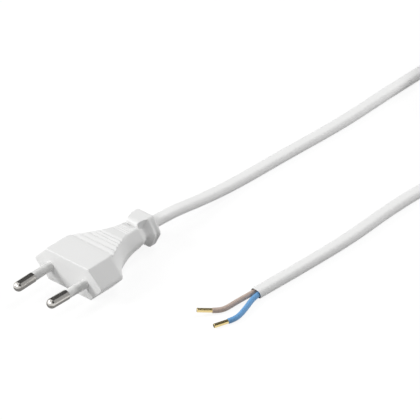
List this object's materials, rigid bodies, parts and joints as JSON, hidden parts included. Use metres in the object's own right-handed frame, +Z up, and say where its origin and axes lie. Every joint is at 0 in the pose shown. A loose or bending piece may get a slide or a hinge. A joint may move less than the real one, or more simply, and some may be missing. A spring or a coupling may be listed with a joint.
{
  "type": "europlug connection lead",
  "caption": "Flat moulded mains plug with sleeved round pins on a flat white lead, whose bare far end shows a brown and a blue core in brass end sleeves.",
  "frame": {"origin": "on the surface that the plug lies on, under the middle of the plug's own box from pin tips to rim", "axes": "+Z up out of the plug's broad face, +Y from the pins towards the lead, +X across the pins from line to neutral"},
  "size_m": [0.0907, 0.273, 0.0137],
  "materials": {
    "body_pvc": "fine matt moulded",
    "bridge_plastic": "moulded",
    "pin_plating": "bright nickel plating on brass",
    "sleeve_plastic": "satin moulded",
    "jacket_pvc": "satin extruded",
    "brown_insulation": "satin extruded",
    "blue_insulation": "satin extruded",
    "copper_strand": "bare stranded copper",
    "end_sleeve_brass": "bright brass",
    "tie_plastic": "soft strap"
  },
  "bodies": {
    "root": {"plug_body": "body_pvc", "pin_bridge": "bridge_plastic", "line_pin": "pin_plating", "neutral_pin": "pin_plating", "line_pin_sleeve": "sleeve_plastic", "neutral_pin_sleeve": "sleeve_plastic", "brown_core_in_plug": "brown_insulation", "blue_core_in_plug": "blue_insulation", "line_conductor_in_crimp": "copper_strand", "neutral_conductor_in_crimp": "copper_strand", "cord_plug_run": "jacket_pvc", "cord_coil": "jacket_pvc", "coil_tie": "tie_plastic", "cord_free_run": "jacket_pvc", "brown_core": "brown_insulation", "blue_core": "blue_insulation", "brown_conductor": "copper_strand", "blue_conductor": "copper_strand", "brown_end_sleeve": "end_sleeve_brass", "blue_end_sleeve": "end_sleeve_brass"}
  },
  "joints": []
}
